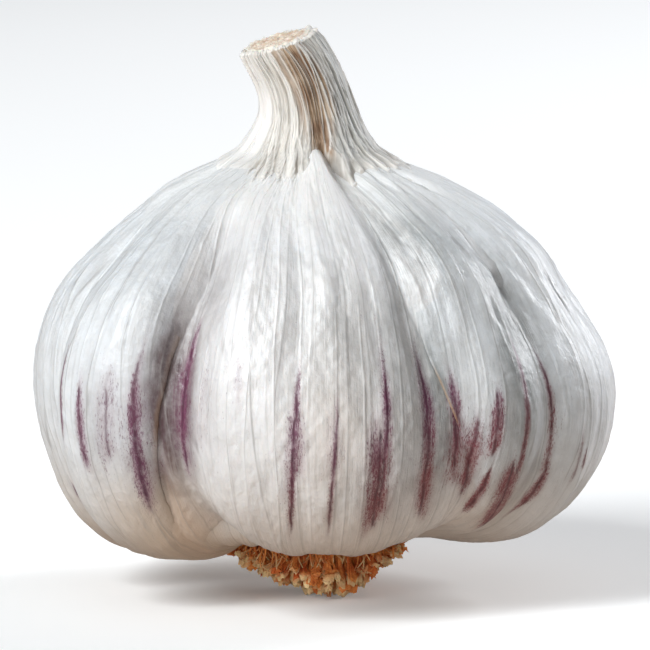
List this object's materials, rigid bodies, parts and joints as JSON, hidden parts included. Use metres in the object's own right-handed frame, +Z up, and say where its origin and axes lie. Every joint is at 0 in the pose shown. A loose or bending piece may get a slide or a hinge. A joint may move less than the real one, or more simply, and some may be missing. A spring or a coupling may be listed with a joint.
{
  "type": "garlic bulb",
  "caption": "Whole garlic bulb with a torn papery outer skin, purple-streaked lobes, a leaning cut neck and a trimmed tuft of roots under it.",
  "frame": {"origin": "centre of the bulb's outline at the level it rests on, under the middle of the root tuft", "axes": "+Z up through the neck, +X towards the broad right lobe and away from the neck's lean, -Y towards the front lobe that the outer skin leaves bare"},
  "size_m": [0.0599, 0.0571, 0.0583],
  "materials": {
    "bulb_skin": "satin",
    "outer_skin": "satin",
    "neck_fibre": "matte",
    "stalk_pith": "matte",
    "root_plate": "matte",
    "root": "matte"
  },
  "bodies": {
    "root": {"bulb": "bulb_skin", "outer_skin": "outer_skin", "neck_sheath": "neck_fibre", "stalk": "stalk_pith", "root_plate": "root_plate", "root_01": "root", "root_02": "root", "root_03": "root", "root_04": "root", "root_05": "root", "root_06": "root", "root_07": "root", "root_08": "root", "root_09": "root", "root_10": "root", "root_11": "root", "root_12": "root", "root_13": "root", "root_14": "root", "root_15": "root", "root_16": "root", "root_17": "root", "root_18": "root", "root_19": "root", "root_20": "root", "root_21": "root", "root_22": "root", "root_23": "root", "root_24": "root", "root_25": "root", "root_26": "root", "root_27": "root", "root_28": "root", "root_29": "root", "root_30": "root", "root_31": "root", "root_32": "root"}
  },
  "joints": []
}
